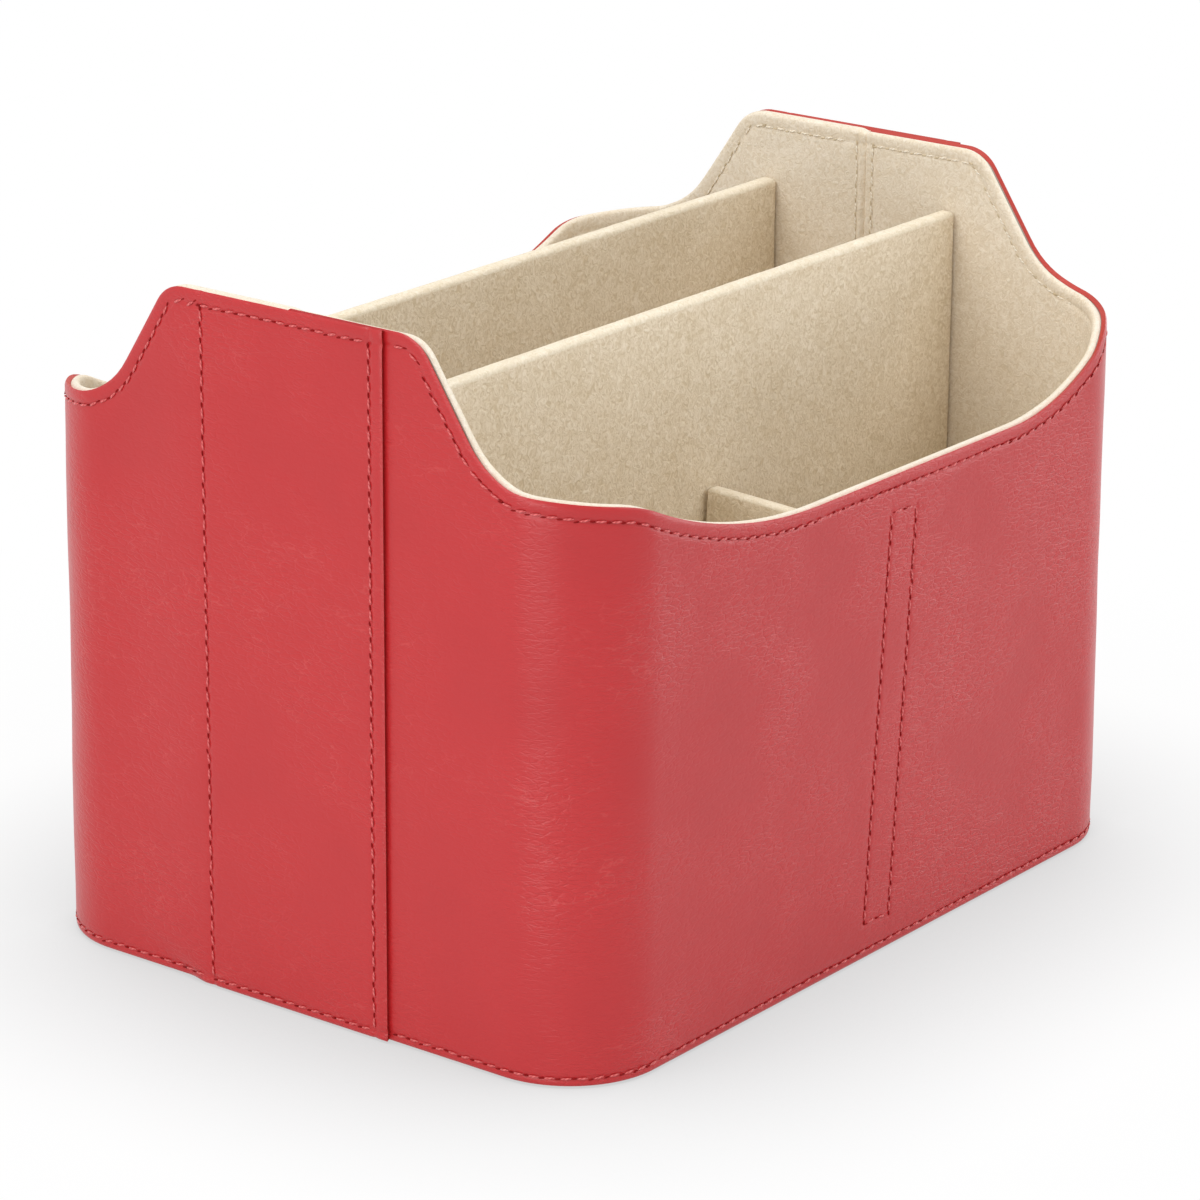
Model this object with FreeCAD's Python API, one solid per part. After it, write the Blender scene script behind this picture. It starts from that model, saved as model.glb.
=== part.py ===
import FreeCAD
import Part
import math
import os

from FreeCAD import Vector

# Remote control caddy: two leather half shells lapped and sewn together at the ends, stiffened with
# board and lined with microsuede, round a lift-out insert of two long dividers and a cross divider
# that swings on its sewn edge. Millimetres. The origin is at the middle of the underside, X runs
# along the caddy, Y across it and Z up. Near means the -X end, left the +Y half, right the -Y half.

# Outside of the walls
length = 203.0
width = 153.0
corner_radius = 22.0

# Rim line, drawn on the outside face unrolled flat, from the middle of an end to the middle of a side
side_height = 107.4
corner_rise = 17.0
tab_rise = 28.1
tab_flat_half = 27.9
tab_slope_deg = 56.3
shoulder_radius = 9.0
foot_radius = 20.0
corner_fall_deg = 6.0
corner_run = 19.0
crest_radius = 28.0
crest_fall_deg = 25.0

# The far right corner is cut a little lower than the other three
far_right_run = 14.0
far_right_crest_radius = 20.0
far_right_crest_fall_deg = 36.0

# Wall, from the outside in: leather, board, lining
leather = 1.2
wall_board = 1.3
lining = 0.8
hem_lift = 0.3

# Base, from the table up: cover, board, and a lining of the wall's own stock
base_cover = 0.8
base_board = 2.0

# Lap joint at each end: the left leather's flap lies over the right leather's tongue
lap_margin = 3.2
jog_clearance = 0.3
jog_run = 2.5
joint_line = -1.2

# Lift-out insert: felt over board, with three equal compartments across
compartment_share = 1 / 3
divider_board = 1.8
felt = 0.9
divider_tab_gap = 14.7
insert_end_gap = 0.8
divider_round_share = 0.4

# Cross divider, sewn to the right wall through a leaning box of stitches
cross_place = 3.1
cross_lean_deg = 4.2
cross_rim_gap = 12.4
cross_floor_gap = 3.8
cross_free_gap = 0.8
hinge_standoff = 3.2
hinge_clearance = 0.4
seam_floor_gap = 4.5
seam_rim_gap = 8.2
seam_width = 9.2
flange_margin = 2.0

# Sewing thread, one short solid for each stitch that shows
stitch_pitch = 3.4
stitch_length = 2.5
thread_width = 0.6
thread_height = 0.35
thread_seat = 0.06
rim_row_inset = 3.6
hem_row_height = 2.0
flap_row_margin = 3.3
tongue_row_margin = 1.6
lining_row_inset = 3.2
joint_row_offset = 2.2

# Cuts run past what they cut by this much, and a corner of the rim is drawn through this many sections
overrun = 2.0
corner_sections = 9

# Sizes that follow
foot_height = side_height + corner_rise
tab_height = foot_height + tab_rise
wall = leather + wall_board + lining
end_half = width / 2 - corner_radius
side_half = length / 2 - corner_radius
corner_arc = corner_radius * math.pi / 2
side_start = end_half + corner_arc
quarter = side_start + side_half
blank_top = tab_height + overrun
cutter_top = blank_top + overrun
lining_bottom = base_cover + base_board
floor_top = lining_bottom + lining
lap_half = tab_flat_half - lap_margin
jog_start = lap_half + jog_clearance
jog_end = jog_start + jog_run
flap_row = lap_half - flap_row_margin
tongue_row = lap_half - tongue_row_margin
inner_length = length - wall * 2
inner_width = width - wall * 2
divider = divider_board + felt * 2
divider_top = tab_height - divider_tab_gap
compartment = (inner_width - divider * 2) * compartment_share
divider_face = compartment / 2
divider_centre = divider_face + divider / 2
insert_length = inner_length - insert_end_gap * 2
hinge_y = hinge_standoff - inner_width / 2
seam_bottom = floor_top + seam_floor_gap
seam_top = side_height - seam_rim_gap
seam_middle = (seam_bottom + seam_top) / 2
cross_low = floor_top + cross_floor_gap - seam_middle
cross_high = side_height - cross_rim_gap - seam_middle
cross_root = felt + hinge_clearance
cross_reach = -divider_centre - divider / 2 - cross_free_gap - hinge_y


def rim_stretches(run, bend_radius, bend_fall_deg):
    """Lists a quarter's lines and arcs: start and stop, as place, height and fall, and the radius of an arc."""
    slope = math.radians(tab_slope_deg)
    corner_fall = math.radians(corner_fall_deg)
    crest_fall = math.radians(bend_fall_deg)
    chain = [(0.0, tab_height, 0.0)]

    def add(onward, drop, fall):
        along, height, _ = chain[-1]
        chain.append((along + onward, height - drop, fall))

    add(tab_flat_half, 0.0, 0.0)
    add(shoulder_radius * math.sin(slope), shoulder_radius * (1 - math.cos(slope)), slope)
    foot_drop = foot_radius * (math.cos(corner_fall) - math.cos(slope))
    straight_drop = chain[-1][1] - foot_height - foot_drop
    add(straight_drop / math.tan(slope), straight_drop, slope)
    add(foot_radius * (math.sin(slope) - math.sin(corner_fall)), foot_drop, corner_fall)
    add(run, run * math.tan(corner_fall), corner_fall)
    crest_run = bend_radius * (math.sin(crest_fall) - math.sin(corner_fall))
    add(crest_run, bend_radius * (math.cos(corner_fall) - math.cos(crest_fall)), crest_fall)
    dip_drop = chain[-1][1] - side_height
    dip_radius = dip_drop / (1 - math.cos(crest_fall))
    add(dip_radius * math.sin(crest_fall), dip_drop, 0.0)
    add(quarter - chain[-1][0], 0.0, 0.0)
    radii = [None, shoulder_radius, None, foot_radius, None, bend_radius, dip_radius, None]
    return list(zip(chain, chain[1:], radii))


common_rim = rim_stretches(corner_run, crest_radius, crest_fall_deg)
far_right_rim = rim_stretches(far_right_run, far_right_crest_radius, far_right_crest_fall_deg)
rims = {(-1, -1): common_rim, (-1, 1): common_rim, (1, 1): common_rim, (1, -1): far_right_rim}


def rim_at(end, side, along):
    """Gives the rim's height, fall in radians and bend, one over its radius, at a place round the wall."""
    for (start, height, fall), (stop, _, last_fall), radius in rims[end, side]:
        if along <= stop:
            break
    if radius is None:
        return height - (along - start) * math.tan(fall), fall, 0.0
    turn = math.copysign(1, last_fall - fall)
    here = math.asin(math.sin(fall) + turn * (along - start) / radius)
    return height - turn * radius * (math.cos(fall) - math.cos(here)), here, turn / radius


def wall_place(end, side, along, inset):
    """Gives the point, outward normal and running direction at a place round one quarter of the wall."""
    if along <= end_half:
        point = Vector(end * (length / 2 - inset), side * along, 0)
        return point, Vector(end, 0, 0), Vector(0, side, 0)
    if along >= side_start:
        point = Vector(end * (quarter - along), side * (width / 2 - inset), 0)
        return point, Vector(0, side, 0), Vector(-end, 0, 0)
    turn = (along - end_half) / corner_radius
    normal = Vector(end * math.cos(turn), side * math.sin(turn), 0)
    running = Vector(-end * math.sin(turn), side * math.cos(turn), 0)
    centre = Vector(end * side_half, side * end_half, 0)
    return centre + normal * (corner_radius - inset), normal, running


def lifted(point, height):
    return Vector(point.x, point.y, height)


def rim_point(end, side, along, inset):
    return lifted(wall_place(end, side, along, inset)[0], rim_at(end, side, along)[0])


def rim_edges(end, side, first, last, inset):
    """Draws the rim between two places on one flat stretch of wall, as lines and arcs."""
    edges = []
    for (start, _, _), (stop, _, _), radius in rims[end, side]:
        low = max(start, first)
        high = min(stop, last)
        if high <= low:
            continue
        points = [rim_point(end, side, place, inset) for place in (low, (low + high) / 2, high)]
        curve = Part.LineSegment(points[0], points[2]) if radius is None else Part.Arc(*points)
        edges.append(curve.toShape())
    return edges


def flat_cutter(edges, first, last, inward):
    """Makes the solid above a flat stretch of rim, through the wall's thickness."""
    path = Part.makePolygon([last, lifted(last, cutter_top), lifted(first, cutter_top), first])
    face = Part.Face(Part.Wire(edges + path.Edges))
    return face.extrude(inward * (leather + wall + overrun * 2))


def end_cutter(end):
    outer = -leather - overrun
    left = rim_edges(end, 1, 0, end_half, outer)
    right = rim_edges(end, -1, 0, end_half, outer)
    first = rim_point(end, 1, end_half, outer)
    last = rim_point(end, -1, end_half, outer)
    return flat_cutter(left[::-1] + right, first, last, Vector(-end, 0, 0))


def side_cutter(side):
    outer = -leather - overrun
    near = rim_edges(-1, side, side_start, quarter, outer)
    far = rim_edges(1, side, side_start, quarter, outer)
    first = rim_point(-1, side, side_start, outer)
    last = rim_point(1, side, side_start, outer)
    return flat_cutter(near + far[::-1], first, last, Vector(0, -side, 0))


def corner_cutter(end, side):
    sections = []
    for step in range(corner_sections):
        along = end_half + corner_arc * step / (corner_sections - 1)
        outer = rim_point(end, side, along, -leather - overrun)
        inner = rim_point(end, side, along, wall + overrun)
        ring = [outer, inner, lifted(inner, cutter_top), lifted(outer, cutter_top), outer]
        sections.append(Part.makePolygon(ring))
    return Part.makeLoft(sections, True)


cutters = [end_cutter(end) for end in (-1, 1)]
cutters += [side_cutter(side) for side in (-1, 1)]
cutters += [corner_cutter(end, side) for end, side in rims]


def trimmed(shape, drop=0.0):
    """Cuts a wall layer's top to the rim line, lowered by a drop."""
    return shape.cut([cutter.translated(Vector(0, 0, -drop)) for cutter in cutters])


def outline(inset, height):
    """Draws the caddy's rounded plan, in from the outside face."""
    arcs = []
    for end, side in ((1, 1), (-1, 1), (-1, -1), (1, -1)):
        places = [end_half, (end_half + side_start) / 2, side_start]
        points = [lifted(wall_place(end, side, place, inset)[0], height) for place in places]
        arcs.append(points if end == side else points[::-1])
    edges = []
    for arc, following in zip(arcs, arcs[1:] + arcs[:1]):
        edges.append(Part.Arc(*arc).toShape())
        edges.append(Part.LineSegment(arc[2], following[0]).toShape())
    return Part.Wire(edges)


def slab(inset, bottom, top):
    return Part.Face(outline(inset, bottom)).extrude(Vector(0, 0, top - bottom))


def tube(outer_inset, inner_inset, bottom):
    return slab(outer_inset, bottom, blank_top).cut(slab(inner_inset, bottom, blank_top))


def box(x_range, y_range, z_range):
    sizes = [high - low for low, high in (x_range, y_range, z_range)]
    return Part.makeBox(*sizes, Vector(x_range[0], y_range[0], z_range[0]))


def band(low, high):
    """Makes a block over the whole caddy between two places across it."""
    return box((-length, length), (low, high), (-overrun, cutter_top))


def tongues():
    """The right leather's ends that lie under the flaps, cut lower so that the left lining covers them."""
    return trimmed(tube(0, leather, hem_lift).common(band(joint_line, lap_half)), lining)


def leather_right():
    panel = trimmed(tube(0, leather, hem_lift).common(band(-width, joint_line)))
    return panel.fuse(tongues()).removeSplitter()


def leather_left():
    """The left leather steps out at each end, over the tongue's edge, and runs on as the flap."""
    panel = tube(0, leather, hem_lift).common(band(jog_end, width))
    for end in (-1, 1):
        face = end * length / 2
        step = end * leather
        corners = [(face, -lap_half), (face + step, -lap_half), (face + step, jog_start), (face, jog_end)]
        corners += [(face - step, jog_end), (face, jog_start), (face, -lap_half)]
        plan = Part.makePolygon([Vector(x, y, hem_lift) for x, y in corners])
        panel = panel.fuse(Part.Face(plan).extrude(Vector(0, 0, blank_top - hem_lift)))
    return trimmed(panel.removeSplitter())


def half_board(low, high):
    shell = tube(leather, leather + wall_board, base_cover)
    return trimmed(shell.common(band(low, high)), lining)


def half_lining(low, high):
    """Microsuede on the inside of a half shell, turned over the top edge of its board."""
    sheet = tube(leather, wall, lining_bottom).common(band(low, high))
    return trimmed(sheet).cut(half_board(low, high))


def lining_left():
    """The left lining also covers the tongues where they pass the joint line."""
    cap = trimmed(tube(0, leather, hem_lift).common(band(joint_line, lap_half))).cut(tongues())
    return half_lining(joint_line, width).fuse(cap).removeSplitter()


def insert_boards():
    """Board cores of the insert: two uprights and the floor between them."""
    half = insert_length / 2 - felt
    inner = divider_face + felt
    outer = inner + divider_board
    heights = (floor_top, divider_top - felt)
    left = box((-half, half), (inner, outer), heights)
    right = box((-half, half), (-outer, -inner), heights)
    floor = box((-half, half), (-inner, inner), (floor_top, floor_top + divider_board))
    return left, right, floor


def rounded_top(block, along):
    """Rounds the two top edges that run along one direction of a divider."""
    top = block.BoundBox.ZMax
    edges = []
    for edge in block.Edges:
        first, last = (vertex.Point for vertex in edge.Vertexes)
        level = math.isclose(first.z, top) and math.isclose(last.z, top)
        run = abs((last - first).dot(along))
        if level and math.isclose(run, edge.Length):
            edges.append(edge)
    return block.makeFillet(divider * divider_round_share, edges)


def insert_cover():
    """One felt sheet over the whole insert, open only underneath."""
    half = insert_length / 2
    cover = box((-half, half), (-divider_face, divider_face), (floor_top, floor_top + divider_board + felt))
    for side in (-1, 1):
        faces = sorted((side * divider_face, side * (divider_face + divider)))
        upright = box((-half, half), faces, (floor_top, divider_top))
        cover = cover.fuse(rounded_top(upright, Vector(1, 0, 0)))
    for board in insert_boards():
        cover = cover.cut(board)
    return cover.removeSplitter()


def leaning(shape, y):
    """Leans a piece drawn upright on its own zero over to the line of the cross divider's seam."""
    turned = shape.copy()
    turned.rotate(Vector(0, 0, 0), Vector(0, 1, 0), cross_lean_deg)
    return turned.translated(Vector(cross_place, y, seam_middle))


def cross_board():
    half = divider_board / 2
    return box((-half, half), (cross_root + felt, cross_reach - felt), (cross_low, cross_high - felt))


def cross_cover():
    """Felt folded over the cross divider's board and closed at its ends, open underneath."""
    half = divider / 2
    block = box((-half, half), (cross_root, cross_reach), (cross_low, cross_high))
    return rounded_top(block, Vector(0, 1, 0)).cut(cross_board())


def cross_flange():
    """Felt strip sewn flat to the wall, with a doubled fold standing out of it that the divider hangs on."""
    half = seam_width / 2 + flange_margin
    heights = (seam_bottom - seam_middle - flange_margin, seam_top - seam_middle + flange_margin)
    strip = box((-half, half), (-hinge_standoff, felt - hinge_standoff), heights)
    fold = box((-felt, felt), (-hinge_standoff, 0), (cross_low, cross_high))
    bead = Part.makeCylinder(felt, cross_high - cross_low, Vector(0, 0, cross_low))
    return strip.fuse([fold, bead]).removeSplitter()


def stitch(point, along, outward):
    """One stitch lying on a surface, centred on a point, along a direction."""
    corner = Vector(-stitch_length / 2, -thread_width / 2, thread_seat)
    thread = Part.makeBox(stitch_length, thread_width, thread_height, corner)
    turn = FreeCAD.Rotation(along, outward.cross(along), outward, "XZY")
    thread.Placement = FreeCAD.Placement(point, turn)
    return thread


def spread(first, last):
    """Places stitches evenly over a run, as near to the pitch as its length allows."""
    count = max(1, round((last - first) / stitch_pitch))
    return [first + (last - first) * (step + 1 / 2) / count for step in range(count)]


def rim_row(end, side, first, last, row_inset, surface, facing=1):
    """Stitches along the rim, a fixed distance in from its edge, between two places round the wall."""
    row = []
    along = first
    while along < last:
        height, fall, bend = rim_at(end, side, along)
        point, normal, running = wall_place(end, side, along - row_inset * math.sin(fall), surface)
        direction = running * math.cos(fall) + Vector(0, 0, -math.sin(fall))
        row.append(stitch(lifted(point, height - row_inset * math.cos(fall)), direction, normal * facing))
        along += stitch_pitch * math.cos(fall) / (1 - row_inset * bend)
    return row


def level_row(end, side, first, last, height, surface):
    """Stitches at one height round the wall."""
    row = []
    for place in spread(first, last):
        point, normal, running = wall_place(end, side, place, surface)
        row.append(stitch(lifted(point, height), running, normal))
    return row


def upright_row(end, across, low, row_inset, surface, facing=1):
    """Stitches up an end wall at one place across it, to a row's inset under the rim."""
    side = int(math.copysign(1, across))
    high = rim_at(end, side, abs(across))[0] - row_inset
    row = []
    for height in spread(low, high):
        point = Vector(end * (length / 2 - surface), across, height)
        row.append(stitch(point, Vector(0, 0, 1), Vector(end * facing, 0, 0)))
    return row


def rim_thread_left():
    row = []
    for end in (-1, 1):
        row += rim_row(end, 1, jog_end + stitch_length, quarter, rim_row_inset, 0)
        row += rim_row(end, 1, stitch_pitch / 2, jog_start - stitch_length, rim_row_inset, -leather)
        row += rim_row(end, -1, stitch_pitch / 2, flap_row, rim_row_inset, -leather)
    return row


def rim_thread_right():
    row = []
    for end in (-1, 1):
        row += rim_row(end, -1, lap_half + stitch_pitch, quarter, rim_row_inset, 0)
    return row


def hem_thread(side, first):
    row = []
    for end in (-1, 1):
        row += level_row(end, side, first, quarter, hem_row_height, 0)
    return row


def flap_thread(end):
    """The row that closes a lap joint: down beside the tongue's edge, along the hem and up the flap."""
    row = upright_row(end, tongue_row, hem_row_height, rim_row_inset, -leather)
    row += upright_row(end, -flap_row, hem_row_height, rim_row_inset, -leather)
    row += level_row(end, 1, 0, tongue_row - thread_width, hem_row_height, -leather)
    return row + level_row(end, -1, 0, flap_row - thread_width, hem_row_height, -leather)


def lining_thread(side):
    row = []
    for end in (-1, 1):
        row += rim_row(end, side, joint_row_offset + stitch_pitch, quarter, lining_row_inset, wall, -1)
    return row


def joint_thread():
    row = []
    for end in (-1, 1):
        for offset in (-joint_row_offset, joint_row_offset):
            row += upright_row(end, joint_line + offset, floor_top, lining_row_inset, wall, -1)
    return row


def seam_thread():
    """The leaning box of stitches that shows outside where the cross divider is sewn to the wall."""
    half = seam_width / 2
    reach = (seam_top - seam_bottom) / 2
    inside = half - thread_width
    outward = Vector(0, -1, 0)
    row = []
    for edge in (-1, 1):
        row += [stitch(Vector(edge * half, 0, z), Vector(0, 0, 1), outward) for z in spread(-reach, reach)]
        row += [stitch(Vector(x, 0, edge * reach), Vector(1, 0, 0), outward) for x in spread(-inside, inside)]
    return [leaning(thread, -width / 2) for thread in row]


def build():
    insert_left, insert_right, insert_floor = insert_boards()
    pieces = {
        "leather_left": leather_left(),
        "leather_right": leather_right(),
        "wall_board_left": half_board(joint_line, width),
        "wall_board_right": half_board(-width, joint_line),
        "lining_left": lining_left(),
        "lining_right": half_lining(-width, joint_line),
        "base_cover": slab(leather, 0, base_cover),
        "base_board": slab(leather + wall_board, base_cover, lining_bottom),
        "base_lining": slab(wall, lining_bottom, floor_top),
        "insert_board_left": insert_left,
        "insert_board_right": insert_right,
        "insert_board_floor": insert_floor,
        "insert_cover": insert_cover(),
        "cross_divider_board": leaning(cross_board(), hinge_y),
        "cross_divider_cover": leaning(cross_cover(), hinge_y),
        "cross_divider_flange": leaning(cross_flange(), hinge_y),
        "rim_thread_left": Part.makeCompound(rim_thread_left()),
        "rim_thread_right": Part.makeCompound(rim_thread_right()),
        "hem_thread_left": Part.makeCompound(hem_thread(1, jog_end + stitch_length / 2)),
        "hem_thread_right": Part.makeCompound(hem_thread(-1, lap_half + stitch_length / 2)),
        "flap_thread_near": Part.makeCompound(flap_thread(-1)),
        "flap_thread_far": Part.makeCompound(flap_thread(1)),
        "lining_thread_left": Part.makeCompound(lining_thread(1)),
        "lining_thread_right": Part.makeCompound(lining_thread(-1)),
        "lining_joint_thread": Part.makeCompound(joint_thread()),
        "cross_divider_thread": Part.makeCompound(seam_thread()),
    }
    os.makedirs("parts", exist_ok=True)
    for name, shape in pieces.items():
        shape.exportStep(f"parts/{name}.step")


build()
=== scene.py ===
import math

import bpy
import numpy as np
from mathutils import Matrix, Vector, noise


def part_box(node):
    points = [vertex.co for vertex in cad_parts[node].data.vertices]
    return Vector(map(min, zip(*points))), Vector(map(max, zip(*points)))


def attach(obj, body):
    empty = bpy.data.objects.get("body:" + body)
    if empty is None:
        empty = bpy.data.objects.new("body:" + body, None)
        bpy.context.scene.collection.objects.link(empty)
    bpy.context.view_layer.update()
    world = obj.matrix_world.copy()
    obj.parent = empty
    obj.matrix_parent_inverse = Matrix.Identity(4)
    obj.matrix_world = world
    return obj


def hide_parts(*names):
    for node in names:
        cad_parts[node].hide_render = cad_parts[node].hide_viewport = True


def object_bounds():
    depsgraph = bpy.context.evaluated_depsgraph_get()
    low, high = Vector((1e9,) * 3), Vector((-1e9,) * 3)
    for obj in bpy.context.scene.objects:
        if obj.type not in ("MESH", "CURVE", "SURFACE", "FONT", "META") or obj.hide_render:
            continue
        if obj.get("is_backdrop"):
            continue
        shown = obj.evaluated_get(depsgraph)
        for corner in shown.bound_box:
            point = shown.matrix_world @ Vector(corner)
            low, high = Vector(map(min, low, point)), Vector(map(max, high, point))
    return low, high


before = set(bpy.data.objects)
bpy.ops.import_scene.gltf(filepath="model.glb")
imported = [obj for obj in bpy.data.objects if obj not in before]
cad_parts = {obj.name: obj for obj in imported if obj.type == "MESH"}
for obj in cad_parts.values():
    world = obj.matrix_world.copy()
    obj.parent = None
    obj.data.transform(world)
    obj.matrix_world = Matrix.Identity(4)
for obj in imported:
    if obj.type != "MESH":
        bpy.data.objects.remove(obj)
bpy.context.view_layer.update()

# Remote control caddy, in the CAD frame: X along it, Y across it, Z up. Sizes are in millimetres and
# become metres where a mesh is written. Near means the -X end, left the +Y half, right the -Y half.


# Boards: grey bookbinder's board, bent round each half shell and cut flat for the base and the insert, and
# glued under leather, lining or felt. These CAD pieces stay. The cross divider's board is drawn again below.
MM = 0.001


def colour(code):
    """Turns an sRGB hex code into the linear colour that a shader takes."""
    parts = [int(code[at:at + 2], 16) / 255 for at in (1, 3, 5)]
    return [c / 12.92 if c <= 0.04045 else ((c + 0.055) / 1.055) ** 2.4 for c in parts] + [1.0]


def new_material(name):
    material = bpy.data.materials.new(name)
    material.use_nodes = True
    material.node_tree.nodes.clear()
    return material


def add_node(material, kind, inputs=None, **settings):
    """Adds a node with its settings, and sets or links its inputs."""
    tree = material.node_tree
    node = tree.nodes.new(kind)
    for key, value in settings.items():
        setattr(node, key, value)
    for key, value in (inputs or {}).items():
        if isinstance(value, bpy.types.NodeSocket):
            tree.links.new(value, node.inputs[key])
        else:
            node.inputs[key].default_value = value
    return node


# Pressed waste paper: matt grey-brown with fibre flecks a millimetre or two long.
board = new_material("grey board")
place = add_node(board, "ShaderNodeTexCoord").outputs["Object"]
flecks = add_node(board, "ShaderNodeTexNoise", {"Vector": place, "Scale": 700, "Detail": 3})
tint = add_node(board, "ShaderNodeMix", {0: flecks.outputs[0], 6: colour("#857D72"), 7: colour("#A89F92")},
                data_type="RGBA")
shader = add_node(board, "ShaderNodeBsdfPrincipled", {"Base Color": tint.outputs[2], "Roughness": 0.9})
add_node(board, "ShaderNodeOutputMaterial", {"Surface": shader.outputs[0]})

for name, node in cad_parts.items():
    if "board" in name:
        node.data.materials.clear()
        node.data.materials.append(board)


# Base: beige microsuede glued under the base board and over it, cut to the plan of the walls with
# rounded corners. The board's edge stays between the two.
def microsuede(name, light, dark, nap, bloom):
    """Brushed cloth: a short matt nap of curled fibres that lie this way and that, so it shows as fine
    wormy mottling with broad soft shading, and a pale bloom where it is seen edge on."""
    cloth = new_material(name)
    place = add_node(cloth, "ShaderNodeTexCoord").outputs["Object"]
    curls = add_node(cloth, "ShaderNodeTexNoise", {"Vector": place, "Scale": 1000 / nap, "Detail": 3,
                                                   "Roughness": 0.55, "Distortion": 1.8})
    drift = add_node(cloth, "ShaderNodeTexNoise", {"Vector": place, "Scale": 1000 / 15, "Detail": 3})
    mottled = add_node(cloth, "ShaderNodeMath", {0: curls.outputs[0], 1: 0.8, 2: -0.05},
                       operation="MULTIPLY_ADD")
    mottled = add_node(cloth, "ShaderNodeMath", {0: drift.outputs[0], 1: 0.15, 2: mottled.outputs[0]},
                       operation="MULTIPLY_ADD")
    spread = add_node(cloth, "ShaderNodeMapRange", {"Value": mottled.outputs[0], "From Min": 0.28,
                                                    "From Max": 0.58})
    tint = add_node(cloth, "ShaderNodeMix", {0: spread.outputs[0], 6: colour(dark), 7: colour(light)},
                    data_type="RGBA")
    bump = add_node(cloth, "ShaderNodeBump", {"Height": curls.outputs[0], "Strength": 0.8,
                                              "Distance": nap * 0.2 * MM})
    shader = add_node(cloth, "ShaderNodeBsdfPrincipled", {
        "Base Color": tint.outputs[2], "Roughness": 0.95, "Specular IOR Level": 0.1,
        "Sheen Weight": bloom, "Sheen Roughness": 0.5, "Sheen Tint": colour("#FFF6E6"),
        "Normal": bump.outputs[0]})
    add_node(cloth, "ShaderNodeOutputMaterial", {"Surface": shader.outputs[0]})
    return cloth


suede = microsuede("beige microsuede", "#F9EEDC", "#E5D5BB", 1.3, 0.2)


def select_edges(piece, wanted):
    """Selects the edges whose two ends pass a test, and leaves the piece in edit mode."""
    bpy.ops.object.mode_set(mode="EDIT")
    bpy.ops.mesh.select_mode(type="EDGE")
    bpy.ops.mesh.select_all(action="DESELECT")
    bpy.ops.object.mode_set(mode="OBJECT")
    for edge in piece.data.edges:
        first, last = (piece.data.vertices[at].co / MM for at in edge.vertices)
        edge.select = wanted(first, last)
    bpy.ops.object.mode_set(mode="EDIT")


def block(name, low, high):
    """Adds a cube at its size and place."""
    bpy.ops.object.select_all(action="DESELECT")
    middle = (Vector(low) + Vector(high)) / 2 * MM
    size = (Vector(high) - Vector(low)) * MM
    bpy.ops.mesh.primitive_cube_add(size=1, location=middle, scale=size)
    bpy.ops.object.transform_apply(location=True, rotation=True, scale=True)
    piece = bpy.context.object
    piece.name = name
    piece.data.name = name
    return piece


def base_sheet(name, node, corner):
    low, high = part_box(node)
    piece = block(name, low / MM, high / MM)
    select_edges(piece, lambda first, last: abs(first.z - last.z) > 0.1)
    bpy.ops.mesh.bevel(offset=corner * MM, segments=12, affect="EDGES")
    select_edges(piece, lambda first, last: abs(first.z - last.z) < 0.1)
    bpy.ops.mesh.bevel(offset=0.2 * MM, segments=2, affect="EDGES")
    bpy.ops.object.mode_set(mode="OBJECT")
    bpy.ops.object.shade_smooth_by_angle(angle=math.radians(50))
    piece.data.materials.append(suede)
    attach(piece, "shell")
    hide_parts(node)


corner_radius = 22.0
half_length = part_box("leather_right")[1].x / MM
half_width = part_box("leather_left")[1].y / MM
base_sheet("base_underside", "base_cover", corner_radius - half_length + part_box("base_cover")[1].x / MM)
base_sheet("base_floor", "base_lining", corner_radius - half_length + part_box("base_lining")[1].x / MM)


# Lining: beige microsuede on the inside of each half, glued to the board and turned over its top edge in
# a soft roll. The two halves butt at the middle of each end, and the left one also rolls over the tongue.
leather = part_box("leather_left")[1].x / MM - half_length
wall = half_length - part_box("base_lining")[1].x / MM
tab_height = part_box("leather_left")[1].z / MM
joint = -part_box("lining_left")[0].y / MM
lap = -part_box("leather_left")[0].y / MM
end_half = half_width - corner_radius
side_half = half_length - corner_radius
side_start = end_half + corner_radius * math.pi / 2
quarter = side_start + side_half


def rim_stretches(run, crest_radius, crest_fall):
    """Lists the rim's lines and arcs from the middle of an end to the middle of a side, wall unrolled."""
    slope = math.radians(56.3)
    lean = math.radians(6)
    side_height = 107.4
    foot_height = side_height + 17
    tab_flat_half = 27.9
    shoulder_radius = 9
    foot_radius = 20
    crest_fall = math.radians(crest_fall)
    chain = [(0.0, tab_height, 0.0)]

    def add(onward, drop, fall):
        chain.append((chain[-1][0] + onward, chain[-1][1] - drop, fall))

    add(tab_flat_half, 0, 0)
    add(shoulder_radius * math.sin(slope), shoulder_radius * (1 - math.cos(slope)), slope)
    foot_drop = foot_radius * (math.cos(lean) - math.cos(slope))
    straight = chain[-1][1] - foot_height - foot_drop
    add(straight / math.tan(slope), straight, slope)
    add(foot_radius * (math.sin(slope) - math.sin(lean)), foot_drop, lean)
    add(run, run * math.tan(lean), lean)
    add(crest_radius * (math.sin(crest_fall) - math.sin(lean)),
        crest_radius * (math.cos(lean) - math.cos(crest_fall)), crest_fall)
    dip = chain[-1][1] - side_height
    dip_radius = dip / (1 - math.cos(crest_fall))
    add(dip_radius * math.sin(crest_fall), dip, 0)
    add(quarter - chain[-1][0], 0, 0)
    radii = [None, shoulder_radius, None, foot_radius, None, crest_radius, dip_radius, None]
    return list(zip(chain, chain[1:], radii))


common_rim = rim_stretches(19, 28, 25)
low_rim = rim_stretches(14, 20, 36)


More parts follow.
